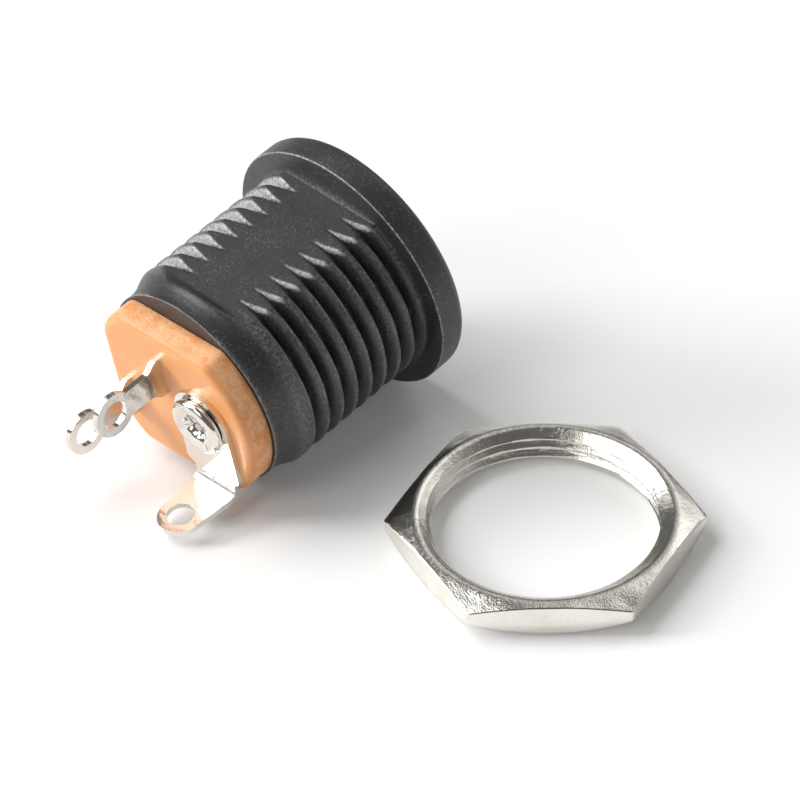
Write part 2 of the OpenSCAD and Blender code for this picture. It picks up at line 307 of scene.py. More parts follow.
def stamped(outline: np.ndarray, holes: list[np.ndarray], thickness: float,
            lay: Callable[[np.ndarray, np.ndarray, np.ndarray], np.ndarray],
            cuts: np.ndarray | None = None) -> Surface:
    """A blank cut from sheet, filled inside its outline and then laid into its shape.

    Args:
        outline: The blank's closed outline, in its own u and v.
        holes: Closed outlines of its holes.
        thickness: The sheet's thickness.
        lay: Gives x, y, z for u, v and the height w above the sheet's middle.
        cuts: Values of v at which the blank gets an extra row of points, for a fold.

    Returns:
        Both faces and the rim between them.
    """
    flat = bmesh.new()
    for loop in [outline, *holes]:
        verts = [flat.verts.new((p[0], p[1], 0)) for p in loop]
        for a, b in zip(verts, verts[1:] + verts[:1]):
            flat.edges.new((a, b))
    bmesh.ops.triangle_fill(flat, use_beauty=True, edges=flat.edges[:])
    for v in [] if cuts is None else cuts:
        geometry = flat.verts[:] + flat.edges[:] + flat.faces[:]
        bmesh.ops.bisect_plane(
            flat, geom=geometry, plane_co=(0, float(v), 0), plane_no=(0, 1, 0)
        )
    bmesh.ops.triangulate(flat, faces=flat.faces[:])
    for face in flat.faces:
        if face.normal.z < 0:
            face.normal_flip()
    flat.verts.index_update()
    uv = np.array([v.co[:2] for v in flat.verts])
    tris = np.array([[v.index for v in f.verts] for f in flat.faces])
    rim = np.array(
        [
            [loop.vert.index, loop.link_loop_next.vert.index]
            for e in flat.edges if e.is_boundary
            for loop in e.link_loops
        ]
    )
    flat.free()
    n, half = len(uv), np.full(len(uv), thickness / 2)
    points = np.vstack([lay(uv[:, 0], uv[:, 1], half), lay(uv[:, 0], uv[:, 1], -half)])
    walls = np.stack([rim[:, 1], rim[:, 0], rim[:, 0] + n, rim[:, 1] + n], axis=-1)
    return Surface(points, [tris, tris[:, ::-1] + n, walls])


def eased(made: bpy.types.Object, width: float, segments: int = 3) -> bpy.types.Object:
    """Rounds a stamped piece's rims.

    Args:
        made: The piece.
        width: The bevel's width in millimetres.
        segments: Steps across the bevel.

    Returns:
        The piece.
    """
    bevel = made.modifiers.new("eased rims", "BEVEL")
    bevel.width = width * MM
    bevel.segments = segments
    bevel.limit_method = "ANGLE"
    bevel.angle_limit = math.radians(50)
    bevel.harden_normals = False
    return made


# ---- finishes ---------------------------------------------------------------


class Sock:
    """A shader socket that takes part in Python arithmetic, adding Math nodes."""

    def __init__(self, maker: "Nodes", out: bpy.types.NodeSocket) -> None:
        """Keeps the shader that the node belongs to and the output socket."""
        self.maker = maker
        self.out = out

    def _with(self, operation: str, *values: "Sock | float") -> "Sock":
        """The result of a Math node on these values."""
        return self.maker.add("ShaderNodeMath", {"operation": operation}, dict(enumerate(values)))

    def __add__(self, other: "Sock | float") -> "Sock":
        """Sum."""
        return self._with("ADD", self, other)

    __radd__ = __add__

    def __mul__(self, other: "Sock | float") -> "Sock":
        """Product."""
        return self._with("MULTIPLY", self, other)

    __rmul__ = __mul__

    def __sub__(self, other: "Sock | float") -> "Sock":
        """Difference."""
        return self._with("SUBTRACT", self, other)

    def __rsub__(self, other: float) -> "Sock":
        """Difference from a number."""
        return self._with("SUBTRACT", other, self)

    def over(self, low: float, high: float) -> "Sock":
        """0 below low, 1 above high and a smooth ramp between them."""
        return self.maker.add(
            "ShaderNodeMapRange",
            {"interpolation_type": "SMOOTHSTEP", "clamp": True},
            {"Value": self, "From Min": low, "From Max": high},
        )

    def most(self, other: "Sock | float") -> "Sock":
        """The greater of two values."""
        return self._with("MAXIMUM", self, other)


class Nodes:
    """A node tree that adds nodes and links from plain values and Socks."""

    def __init__(self, tree: bpy.types.NodeTree) -> None:
        """Keeps the tree."""
        self.tree = tree

    def add(self, kind: str, settings: dict, values: dict, out: str | int = 0) -> Sock:
        """Adds a node.

        Args:
            kind: The node's type.
            settings: Its own properties, set first.
            values: Numbers, colours or sockets for its inputs, by name or number.
            out: The output that is wanted.

        Returns:
            That output.
        """
        node = self.tree.nodes.new(kind)
        for key, value in settings.items():
            setattr(node, key, value)
        for key, value in values.items():
            self.feed(node.inputs[key], value)
        return Sock(self, node.outputs[out])

    def feed(self, socket: bpy.types.NodeSocket, value: object) -> None:
        """Links a socket to a Sock, or sets it to a number or colour.

        Args:
            socket: The input.
            value: What it gets.
        """
        if isinstance(value, Sock):
            self.tree.links.new(value.out, socket)
        elif isinstance(value, tuple) and len(value) == 3 and socket.type == "RGBA":
            socket.default_value = (*value, 1.0)
        else:
            socket.default_value = value


class Shader(Nodes):
    """A node material round one Principled BSDF, with its patterns in millimetres."""

    def __init__(self, name: str) -> None:
        """Makes an empty material of this name."""
        self.material = bpy.data.materials.new(name)
        self.material.use_nodes = True
        super().__init__(self.material.node_tree)
        self.tree.nodes.clear()
        self.surface = self.tree.nodes.new("ShaderNodeBsdfPrincipled")
        output = self.tree.nodes.new("ShaderNodeOutputMaterial")
        self.tree.links.new(self.surface.outputs[0], output.inputs[0])
        self.where = self.add("ShaderNodeTexCoord", {}, {}, "Object")

    def noise(self, size: float, detail: float = 2.0, rough: float = 0.5,
              stretch: tuple[float, float, float] = (1.0, 1.0, 1.0), shift: float = 0.0) -> Sock:
        """Noise whose features are about size millimetres across, from 0 to 1.

        Args:
            size: Distance across a feature.
            detail: Octaves of finer noise.
            rough: How strong the finer octaves are.
            stretch: How much longer the features are along each axis.
            shift: Moves the pattern, so that two noises differ.

        Returns:
            The noise's value.
        """
        scale = tuple(1000.0 / (size * s) for s in stretch)
        mapped = self.add(
            "ShaderNodeMapping", {"vector_type": "POINT"},
            {"Vector": self.where, "Location": (shift, -shift, shift), "Scale": scale}, "Vector",
        )
        return self.add(
            "ShaderNodeTexNoise", {},
            {"Vector": mapped, "Scale": 1.0, "Detail": detail, "Roughness": rough},
        )

    def value(self, name: str) -> Sock:
        """A named value kept on the mesh's vertices."""
        return self.add("ShaderNodeAttribute", {"attribute_name": name}, {}, "Fac")

    def mix(self, share: Sock | float, a: object, b: object) -> Sock:
        """Blends two colours.

        Args:
            share: How much of b there is, from 0 to 1.
            a: The colour where share is 0.
            b: The colour where share is 1.

        Returns:
            The blend.
        """
        node = self.tree.nodes.new("ShaderNodeMix")
        node.data_type = "RGBA"
        self.feed(node.inputs["Factor"], share)
        colours = [s for s in node.inputs if s.type == "RGBA"]
        self.feed(colours[0], a)
        self.feed(colours[1], b)
        return Sock(self, next(s for s in node.outputs if s.type == "RGBA"))

    def bump(self, height: Sock, depth: float) -> Sock:
        """A normal from a height of 0 to 1, depth millimetres deep."""
        values = {"Height": height, "Strength": 1.0, "Distance": depth * MM}
        return self.add("ShaderNodeBump", {}, values, "Normal")

    def dress(self, **inputs: object) -> bpy.types.Material:
        """Feeds the surface's inputs.

        Args:
            inputs: What each gets, under its name in lower case with underscores.

        Returns:
            The material.
        """
        for key, value in inputs.items():
            name = key.replace("_", " ").title().replace("Ior", "IOR")
            self.feed(self.surface.inputs[name], value)
        return self.material


@dataclass(frozen=True)
class BlackMoulding:
    """Fine-grained black moulding with pale dust, scuffed crest ends, painted highlights on its edges
    and painted light on its lit flanks.
    """

    colour: tuple[float, float, float] = (0.017, 0.016, 0.018)
    dust: tuple[float, float, float] = (0.20, 0.20, 0.205)
    # pale colour for the scuffed marks and for the painted highlights and painted light on the barrel
    scuffed_and_lit: tuple[float, float, float] = (0.55, 0.54, 0.53)
    grain: float = 0.09
    grain_depth: float = 0.010

    def material(self) -> bpy.types.Material:
        """Grain in the bump, dust from thresholded noise, and from the mesh's own value the scuffing,
        painted highlights and painted light.
        """
        s = Shader("black moulding")
        grain = s.noise(self.grain, 3.0, 0.62)
        cloud = s.noise(1.4, 2.0, 0.5, shift=7.0)
        specks = s.noise(0.10, 2.0, 0.6, shift=3.0).over(0.54, 0.70) * cloud.over(0.15, 0.7)
        # the mesh's pale marks, broken up by noise: scuffing, painted highlights and painted light
        worn = s.noise(0.16, 3.0, 0.75, shift=11.0)
        rub = (s.value("rub") * (worn * 2.4 - 0.3)).over(0.12, 0.95)
        colour = s.mix(specks * 0.6, self.colour, self.dust)
        colour = s.mix(rub * 0.9, colour, self.scuffed_and_lit)
        rough = 0.44 + (grain - 0.5) * 0.25 + (cloud - 0.5) * 0.15
        return s.dress(base_color=colour, roughness=rough, specular_ior_level=0.8,
                       normal=s.bump(grain, self.grain_depth))


@dataclass(frozen=True)
class Laminate:
    """Pressed paper laminate: smooth tan faces and fibrous, speckled cut edges."""

    face: tuple[float, float, float] = (0.85, 0.36, 0.125)
    edge_pale: tuple[float, float, float] = (0.97, 0.56, 0.29)
    edge_dark: tuple[float, float, float] = (0.80, 0.27, 0.08)
    brink: tuple[float, float, float] = (0.66, 0.24, 0.07)

    def material(self) -> bpy.types.Material:
        """Speckles of two sizes on the cut edges, a faint cloud on the faces."""
        s = Shader("laminate")
        cut = s.value("cut")
        fibre = s.noise(0.10, 3.0, 0.6)
        patch = s.noise(0.8, 2.0, 0.55, shift=5.0)
        cloud = s.noise(2.2, 2.0, 0.5, shift=2.0)
        face = s.mix(cloud.over(0.3, 0.8) * 0.22, self.face, self.edge_pale)
        edge = s.mix((fibre * 0.5 + patch * 0.5).over(0.36, 0.68), self.edge_pale, self.edge_dark)
        colour = s.mix(cut, face, edge)
        brink = (cut * (1.0 - cut) * 4.0).over(0.2, 0.9)
        colour = s.mix(brink * 0.45, colour, self.brink)
        rough = 0.34 + cut * 0.2 + (fibre - 0.5) * 0.1
        return s.dress(base_color=colour, roughness=rough,
                       normal=s.bump(fibre * (cut * 0.9 + 0.1), 0.02))


@dataclass(frozen=True)
class PlatedMetal:
    """Bright plating on stamped or turned brass."""

    name: str
    colour: tuple[float, float, float]
    dull: tuple[float, float, float]
    roughness: float
    wave: float
    wave_depth: float
    pits: float
    grain: float = 0.12

    def material(self) -> bpy.types.Material:
        """Shallow waves under the plating, faint clouds in its gloss and fine pits."""
        s = Shader(self.name)
        wave = s.noise(self.wave, 2.0, 0.5)
        cloud = s.noise(self.wave * 2.3, 3.0, 0.6, shift=4.0)
        pits = s.noise(0.09, 2.0, 0.65, shift=9.0)
        spots = pits.over(0.63, 0.78) * self.pits
        colour = s.mix(cloud.over(0.35, 0.8) * 0.5, self.colour, self.dull)
        colour = s.mix(spots, colour, tuple(0.35 * c for c in self.dull))
        rough = self.roughness + (cloud - 0.5) * 0.12 + spots * 0.25
        height = wave + pits * self.grain
        return s.dress(base_color=colour, metallic=1.0, roughness=rough,
                       normal=s.bump(height, self.wave_depth))


class Metal(Enum):
    """The platings on the part."""

    TIN = PlatedMetal("tin plate", (0.82, 0.80, 0.76), (0.66, 0.63, 0.58), 0.15, 0.9, 0.03, 0.3)
    CONTACT = PlatedMetal("contact plate", (0.80, 0.76, 0.66), (0.70, 0.65, 0.54), 0.24, 0.7,
                          0.015, 0.2)
    NUT = PlatedMetal("nut plate", (0.86, 0.84, 0.79), (0.70, 0.66, 0.58), 0.11, 0.8, 0.03, 0.9,
                      0.6)


# ---- the jack ---------------------------------------------------------------


@dataclass(frozen=True)
class ScuffsAndLight:
    """The moulding's pale marks: scuffing, painted highlights and painted light, each with its width in
    millimetres and its strength.
    """

    # line and rear are painted highlights, tip is partly scuffing and partly a painted highlight, leaf
    # is painted light on the lit side's flanks
    line: tuple[float, float] = (0.05, 0.55)
    tip: tuple[float, float] = (0.2, 0.9)
    tip_place: float = 0.4
    leaf: tuple[float, float] = (0.04, 0.75)
    rear: tuple[float, float] = (0.06, 0.7)
    seam: tuple[float, float] = (0.08, 0.5)
    rim: tuple[float, float] = (0.08, 0.7)
    top: tuple[float, float] = (0.3, 0.33)
    whole: float = 0.1
    flank: tuple[float, float] = (0.08, 0.25)
    leaf_from: tuple[float, float] = (92.0, 12.0)
    leaf_to: tuple[float, float] = (175.0, 40.0)
    collar: tuple[float, float] = (0.2, 0.8)


@dataclass
class Barrel:
    """The black moulding: flange, threaded and flatted barrel, tapered collar and socket."""

    layout: Layout
    thread_r: float = 6.08
    root_r: float = 5.42
    pitch: float = 1.04
    grooves: int = 8
    first_groove: float = 0.53
    groove_half: float = 0.41
    groove_curve: float = 1.3
    flat_y: float = 5.2
    flat_lean: float = -4.0
    flats_end: float = 9.15
    flats_fade: float = 0.7
    socket_r: float = 3.1
    socket_l: float = 5.3
    mouth_bevel: float = 0.4
    chamber_r: float = 4.35
    edge_round: float = 0.03
    rim_round: float = 0.09
    collar_start: float = 8.7
    collar_taper: tuple[tuple[float, float], ...] = (
        (9.0, 5.95), (9.3, 5.8), (9.8, 5.66), (10.2, 5.62))
    run_out: tuple[float, float] = (50.0, 82.0)
    rows_per_pitch: int = 13
    scuffs_and_light: ScuffsAndLight = ScuffsAndLight()

    def columns(self) -> np.ndarray:
        """Angles of the columns, close together where the thread runs out at the flats."""
        first, last = self.run_out
        fine, coarse = np.linspace(first, last, 80), np.linspace(last, 180 - last, 15)[:-1]
        side = np.linspace(-first, first, 81)[:-1]
        half = np.concatenate([side, fine[:-1], coarse, 180 - fine[:0:-1]])
        return np.radians(np.concatenate([half, half + 180]) + self.flat_lean)

    def groove(self, theta: np.ndarray, z: np.ndarray) -> np.ndarray:
        """Distance in millimetres behind the nearest groove's middle, along the helix."""
        turns = (z - self.first_groove) / self.pitch - theta / TAU
        return (turns - np.clip(np.round(turns), 0, self.grooves - 1)) * self.pitch

    def collar(self, z: np.ndarray) -> np.ndarray:
        """Radius left of the full thread where it runs out into the collar."""
        ends = np.array([
            (0.0, self.thread_r), (self.collar_start, self.thread_r), *self.collar_taper,
            (self.layout.barrel_l, self.layout.rear_r),
        ])
        return np.interp(z, ends[:, 0], ends[:, 1])

    def outer(self, theta: np.ndarray, z: np.ndarray) -> tuple[np.ndarray, np.ndarray]:
        """Works out the barrel behind the flange.

        The thread rises from a groove as root + (crest - root) (1 - (1 - d / w) ^ c).
        The flats cut it up to the collar.

        Args:
            theta: The angle of each column.
            z: Distance behind the panel seat, on the grid.

        Returns:
            The radius, and the strength of its pale marks (scuffing, painted highlights and painted
            light) from 0 to 1, on the grid.
        """
        behind = self.groove(theta, z)
        share = np.clip(1 - np.abs(behind) / self.groove_half, 0, 1)
        crest = self.collar(z)
        thread = crest - (crest - self.root_r) * share**self.groove_curve
        across = np.abs(np.sin(theta - math.radians(self.flat_lean)))
        flat = self.flat_y / np.maximum(across, NEAR_ZERO)
        cut = soft_least(thread, flat, self.edge_round)
        past = np.clip((z - self.flats_end) / self.flats_fade + 0.5, 0, 1)
        past = past**2 * (3 - 2 * past)
        radius = cut * (1 - past) + crest * past
        rub = self.scuffed_and_lit(theta, z, behind, share, flat - thread)
        edge, loss = self.scuffs_and_light.collar
        return radius, rub * (1 - loss * past * (z < self.layout.barrel_l - edge))

    def scuffed_and_lit(self, theta: np.ndarray, z: np.ndarray, behind: np.ndarray, share: np.ndarray,
               spare: np.ndarray) -> np.ndarray:
        """Finds the pale marks: partly scuffing, partly painted highlights and painted light.

        A painted highlight runs along each crest's front edge and along the rear edge, and
        the crest tops are paler. Where a flat cuts the flank that faces backwards, the
        groove's tip gets a mark that is partly scuffing and partly a painted highlight, and
        on the side from about 92 to 175 degrees, which faces the light, the whole cut flank
        gets painted light. Where the flats meet the seat it is paler too. A mark fades as
        exp(-(d / w)^2) from its line, or over a straight ramp.

        Args:
            theta: The angle of each column.
            z: Distance behind the panel seat, on the grid.
            behind: Distance behind the nearest groove's middle.
            share: 1 in a groove's middle and 0 on a crest.
            spare: How far the flat lies outside the thread.

        Returns:
            The strongest mark's strength on the grid.
        """
        w = self.scuffs_and_light
        whole = ramp(spare, 0, w.whole)
        flank = ramp(-behind, 0, w.flank[0]) * ramp(share, 0, w.flank[1])
        degrees = np.degrees(theta) % 360
        (start, rise), (end, fall) = w.leaf_from, w.leaf_to
        # the band of angles on the side that faces the light, whose cut flanks get painted light
        lit_side = ramp(degrees, start, rise) * np.clip((end - degrees) / fall, 0, 1)
        return np.maximum.reduce([
            # painted highlight along each crest's front edge
            bell(behind - self.groove_half, w.line[0]) * whole * w.line[1],
            # paler crest tops
            (1 - ramp(share, 0, w.top[0])) * whole * w.top[1],
            # at each groove's tip: partly scuffing, partly a painted highlight
            bell(spare / w.tip[0] - w.tip_place, 1.0) * flank * w.tip[1],
            # painted light over the whole cut flank on the lit side
            flank * lit_side * np.clip(spare / w.leaf[0] + 0.5, 0, 1) * w.leaf[1],
            # painted highlight along the rear edge
            bell(z - self.layout.barrel_l, w.rear[0]) * w.rear[1],
            bell(z, w.seam[0]) * (spare < 0) * w.seam[1],
        ])

    def surface(self) -> Surface:
        """The whole moulding as one closed grid: socket, flange, barrel, collar, chamber."""
        lay = self.layout
        theta = self.columns()
        front, back, r = -lay.flange_t, lay.barrel_l, lay.flange_r
        chamber_z = front + self.socket_l
        mouth = self.socket_r + self.mouth_bevel
        rim = arc((r - lay.flange_round, front + lay.flange_round), lay.flange_round, -90, 0, 9)
        flange = np.vstack([
            # the chamber's front wall and the guide hole, with eased corners
            [[self.chamber_r, chamber_z + 0.1], [self.chamber_r - 0.1, chamber_z],
             [self.socket_r + 0.05, chamber_z], [self.socket_r, chamber_z - 0.05],
             [self.socket_r, (chamber_z + front) / 2], [self.socket_r, front + self.mouth_bevel],
             # the bevelled mouth and the flange's face
             [mouth - 0.08, front + 0.06], [mouth + 0.05, front], [mouth + 1.2, front]],
            rim,
            # the flange's rear edge and the panel seat
            rounded(np.array([[r, front + 1.0], [r, 0], [r - 0.6, 0]]), [self.rim_round], 6),
            [[self.thread_r + 0.3, 0.0]],
        ])
        # a paler line round the flange's rear outer edge, in the same value as the barrel's marks
        rim_w, worn = self.scuffs_and_light.rim
        edge = bell(np.hypot(flange[:, 0] - r, flange[:, 1]), rim_w) * worn
        z = np.append(np.arange(0.01, back - 0.02, self.pitch / self.rows_per_pitch), back - 0.01)
        grid_z = np.repeat(z[:, None], len(theta), axis=1)
        barrel_r, rub = self.outer(theta[None, :], grid_z)
        tail = np.array([[lay.rear_r - 0.06, back], [self.chamber_r, back],
                         [self.chamber_r, back - 0.05], [self.chamber_r, chamber_z + 1.0]])
        flange_g, tail_g = (np.repeat(section[:, :, None], len(theta), axis=2)
                            for section in (flange, tail))
        radius = np.vstack([flange_g[:, 0], barrel_r, tail_g[:, 0]])
        height = np.vstack([flange_g[:, 1], grid_z, tail_g[:, 1]])
        values = np.zeros_like(radius)
        values[:len(flange)] = edge[:, None]
        values[len(flange):len(flange) + len(z)] = rub
        return turned(theta, radius, height, rub=values)


@dataclass
class BasePlate:
    """The laminate plate that closes the barrel and carries the contacts."""

    layout: Layout
    r: float = 5.5
    flat_y: float = 4.45
    side: float = 4.75
    thick: float = 1.5
    edge_round: float = 0.5
    corner: float = 0.09
    front_ease: float = 0.06
    cut_ends: float = 55.0

    def outline(self, theta: np.ndarray) -> np.ndarray:
        """Cuts the round by three flats, with soft corners.

        Args:
            theta: The angles.

        Returns:
            The radius at each.
        """
        upright = self.flat_y / np.maximum(np.abs(np.sin(theta)), NEAR_ZERO)
        beside = self.side / np.maximum(-np.cos(theta), NEAR_ZERO)
        return soft_least(
            soft_least(np.full_like(theta, self.r), upright, self.corner), beside, self.corner
        )

    def surface(self) -> Surface:
        """Rows from the hidden front face round the rolled rear edge to the middle.

        Each row is the outline moved in by its own distance along the outline's normal.
        The value cut is 1 on the cut edge and fades out over the roll.
        """
        theta = np.linspace(0, TAU, 721)[:-1]
        radius = self.outline(theta)
        edge = np.stack([radius * np.cos(theta), radius * np.sin(theta)], axis=-1)
        along = np.roll(edge, -1, axis=0) - np.roll(edge, 1, axis=0)
        along /= np.linalg.norm(along, axis=1, keepdims=True)
        inward = np.stack([-along[:, 1], along[:, 0]], axis=-1)
        z0, z1, q = self.layout.barrel_l, self.layout.barrel_l + self.thick, self.edge_round
        bend = np.radians(np.linspace(0, 90, 9))
        ease, fade = self.front_ease, np.radians(self.cut_ends)
        moved = np.concatenate([[ease, 0.0], [0.0], q * (1 - np.cos(bend)), [q + 0.15]])
        height = np.concatenate([[z0, z0 + ease], [z0 + 0.5], z1 - q + q * np.sin(bend), [z1]])
        cut = np.concatenate([[1, 1, 1], np.clip(1.15 - bend / fade, 0, 1), [0]])
        rows = edge[None] + inward[None] * moved[:, None, None]
        shrink = np.array([0.6, 0.25, NEAR_ZERO])[:, None, None]
        inner = rows[-1][None] * shrink
        rows = np.concatenate([rows[:1] * NEAR_ZERO, rows[:1] * 0.6, rows, inner])
        height = np.concatenate([[z0, z0], height, [z1] * 3])
        cut = np.concatenate([[0, 0], cut, [0] * 3])
        grid_z = np.repeat(height[:, None], len(theta), axis=1)
        points = np.concatenate([rows, grid_z[:, :, None]], axis=-1).reshape(-1, 3)
        faces = ring_faces(len(height), len(theta), False)
        around = np.arange(len(theta))
        ends = [around[::-1][None], (around + len(points) - len(theta))[None]]
        return Surface(points, [faces, *ends], {"cut": np.repeat(cut, len(theta))})


@dataclass
class UprightLug:
    """A stamped blade that stands on the plate and ends in a solder eyelet."""

    layout: Layout
    x: float
    y: float
    foot_z: float = 10.3
    plate_z: float = 12.1
    sheet_t: float = 0.3
    root_w: float = 2.4
    neck_w: float = 1.55
    shoulder: float = 0.45
    end_r: float = 1.225
    hole_r: float = 0.75

    def outline(self) -> np.ndarray:
        """Half the blade's edge, mirrored: root, tapered shoulder, neck and round end."""
        hole_z = self.layout.lug_hole_z
        meet = math.degrees(math.asin(self.neck_w / 2 / self.end_r))
        half = rounded(
            np.array([
                [self.foot_z, -self.root_w / 2],
                [self.plate_z + self.shoulder, -self.root_w / 2],
                [self.plate_z + 2 * self.shoulder, -self.neck_w / 2],
                [hole_z - self.end_r * math.cos(math.radians(meet)) - 0.05, -self.neck_w / 2],
            ]),
            [0.2, 0.2], 5,
        )
        end = arc((hole_z, 0), self.end_r, -180 + meet, 180 - meet, 56)
        return np.vstack([half, end, half[::-1] * [1, -1]])

    def surface(self) -> Surface:
        """The blade, its blank's u along the jack and its v upwards."""
        hole = hole_outline((self.layout.lug_hole_z, 0), self.hole_r, 48)

        def lay(u: np.ndarray, v: np.ndarray, w: np.ndarray) -> np.ndarray:
            """Stands the blank up at the lug's place."""
            return np.stack([self.x - w, self.y + v, u], axis=-1)

        return stamped(self.outline(), [hole], self.sheet_t, lay)


@dataclass
class CentreLug(UprightLug):
    """The upright lug whose foot is staked under the centre pin."""

    x: float = -0.3
    y: float = 2.0
    foot_r: float = 1.15
    pin_r: float = 0.55

    def foot(self) -> Surface:
        """The foot against the plate's inner face: an eyelet with an arm to the blade."""
        left, right = self.x + self.sheet_t / 2 - self.neck_w, self.x + self.sheet_t / 2
        start = math.degrees(math.acos(right / self.foot_r))
        end = math.degrees(math.acos(max(left / self.foot_r, -1)))
        ring = arc((0, 0), self.foot_r, end, 360 + start, 60)
        top = self.y + self.root_w / 2
        outline = np.vstack([ring, [[right, top], [left, top]]])
        hole = hole_outline((0, 0), self.pin_r, 32)
        z = self.foot_z + self.sheet_t / 2
        return stamped(outline, [hole], self.sheet_t,
                       lambda u, v, w: np.stack([u, v, z + w], axis=-1))


@dataclass
class SwitchContact(UprightLug):
    """The upright lug with its crossbar inside and the finger behind the sleeve spring."""

    x: float = -3.3
    y: float = -1.05
    bar_low: float = -2.3
    bar_high: float = -1.45
    finger_x: float = 3.2
    finger_z: float = 7.5
    pip_r: float = 0.25
    pip_aside: float = 0.2
    pip_past: float = 0.7

    def bar(self) -> Surface:
        """The crossbar and finger: one strip folded forwards where it passes the pin."""
        t, start = self.sheet_t, self.x - self.sheet_t / 2
        r = t * 0.8
        fold = self.finger_x - r
        bend = r - t / 2
        turn = bend * math.pi / 2
        length = (fold - start) + turn + (self.foot_z + t - r) - self.finger_z
        mid = (self.bar_low + self.bar_high) / 2

        def lay(u: np.ndarray, v: np.ndarray, w: np.ndarray) -> np.ndarray:
            """Lays v along the plate, round the fold and then forwards."""
            a = np.clip((v - (fold - start)) / bend, 0, math.pi / 2)
            past = np.maximum(v - (fold - start) - turn, 0)
            along = np.minimum(v, fold - start)
            x = start + along + (bend + w) * np.sin(a)
            z = self.foot_z + t - r + (bend + w) * np.cos(a) - past
            return np.stack([x, mid - u, z], axis=-1)

        half = (self.bar_high - self.bar_low) / 2
        outline = np.array([[-half, 0], [half, 0], [half, length], [-half, length]])
        cuts = fold - start + turn * np.linspace(0, 1, 7)
        strip = stamped(outline, [], t, lay, cuts)
        ring = np.linspace(0, TAU, 25)[:-1]
        pip_r = self.pip_r
        rows = np.array([[pip_r, 0.0], [pip_r, 0.2], [pip_r * 0.8, 0.28], [0.02, 0.3]])
        x = self.finger_x + np.repeat(rows[:, 1:], len(ring), axis=1)
        y = mid + self.pip_aside + rows[:, :1] * np.cos(ring)
        z = self.finger_z + self.pip_past + rows[:, :1] * np.sin(ring)
        pip = Surface(np.stack([x, y, z], axis=-1).reshape(-1, 3),
                      [ring_faces(len(rows), len(ring), False)])
        return strip + pip


@dataclass
class SleeveLug:
    """The riveted strap that folds back into a tab with a solder hole."""

    layout: Layout
    x: float = 2.38
    y: float = 0.35
    plate_z: float = 12.1
    sheet_t: float = 0.3
    strap_w: float = 3.75
    tab_w: float = 2.8
    tab_y: float = -4.05
    tab_hole_z: float = 15.0
    bend_r: float = 0.4
    shoulder: float = 0.3
    end_r: float = 1.225
    hole_r: float = 0.75
    rivet_r: float = 0.8

    def surface(self) -> Surface:
        """The blank runs down the strap, round the fold and out along the tab.

        In the fold, a point at arc length s and height w lies at the fold's centre
        plus (R - w)(-sin a, -cos a) in y and z, with a = s / R.
        """
        t, mid = self.sheet_t, self.bend_r + self.sheet_t / 2
        fold_y, fold_z = self.tab_y + self.bend_r, self.plate_z + t + self.bend_r
        down = self.y - fold_y
        arc_l = mid * math.pi / 2

        def lay(u: np.ndarray, v: np.ndarray, w: np.ndarray) -> np.ndarray:
            """Folds the blank: v runs down from the rivet."""
            a = np.clip((v - down) / mid, 0, math.pi / 2)
            past = np.maximum(v - down - arc_l, 0)
            y = np.where(v < down, self.y - v, fold_y - (mid - w) * np.sin(a))
            z = fold_z - (mid - w) * np.cos(a) + past
            return np.stack([self.x - u, y, z], axis=-1)

        hole_v = down + arc_l + self.tab_hole_z - fold_z
        s, half, tab = self.shoulder, self.strap_w / 2, self.tab_w / 2
        side = rounded(
            np.array([[half, 0], [half, down - 2 * s], [tab, down - s], [tab, down + arc_l],
                      [self.end_r, hole_v]]),
            [0.15, 0.1, 0.3], 5,
        )
        end = arc((0, hole_v), self.end_r, 0, 180, 40)[1:-1]
        head = arc((0, 0), half, 180, 360, 60)[1:-1]
        outline = np.vstack([side, end, side[::-1] * [-1, 1], head])
        holes = [hole_outline((0, hole_v), self.hole_r, 48),
                 hole_outline((0, 0), self.rivet_r, 40)]
        return stamped(outline, holes, t, lay, down + arc_l * np.linspace(0, 1, 9))


